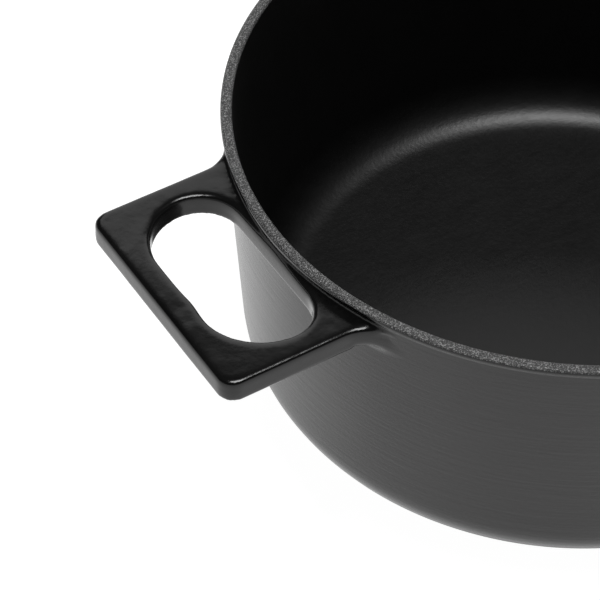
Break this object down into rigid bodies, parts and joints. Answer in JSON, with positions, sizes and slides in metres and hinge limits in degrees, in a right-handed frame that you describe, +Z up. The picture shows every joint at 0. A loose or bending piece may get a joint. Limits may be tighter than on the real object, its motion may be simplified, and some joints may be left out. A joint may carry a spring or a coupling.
{
  "type": "dutch oven",
  "caption": "Round cast iron cooking pot with flat loop handles and a shallow domed lid that carries a screwed-on knob.",
  "frame": {"origin": "centre of the pot's base, on the surface it stands on", "axes": "+X from the pot towards the lid that lies beside it and along the line of the two handles, +Z up, +Y across the handles"},
  "size_m": [0.7275, 0.262, 0.115],
  "materials": {
    "pot": "satin black enamel with a matte grainy rim",
    "lid": "satin black enamel",
    "knob_grip": "moulded black phenolic",
    "knob_insert": "turned",
    "knob_ferrule": "brushed stainless",
    "knob_screw": "stainless",
    "flat_washer": "stainless",
    "lock_washer": "spring steel"
  },
  "bodies": {
    "pot_body": {"pot": "pot"},
    "lid_body": {"lid": "lid", "knob_grip": "knob_grip", "knob_insert": "knob_insert", "knob_ferrule": "knob_ferrule", "knob_screw": "knob_screw", "flat_washer": "flat_washer", "lock_washer": "lock_washer"}
  },
  "joints": [
    {"name": "lid_turn", "type": "hinge", "parent": "pot_body", "child": "lid_body", "pos_m": [0.21, 0, 0.08355], "axis": [0, -1, 0], "range_deg": [0, 180]}
  ]
}
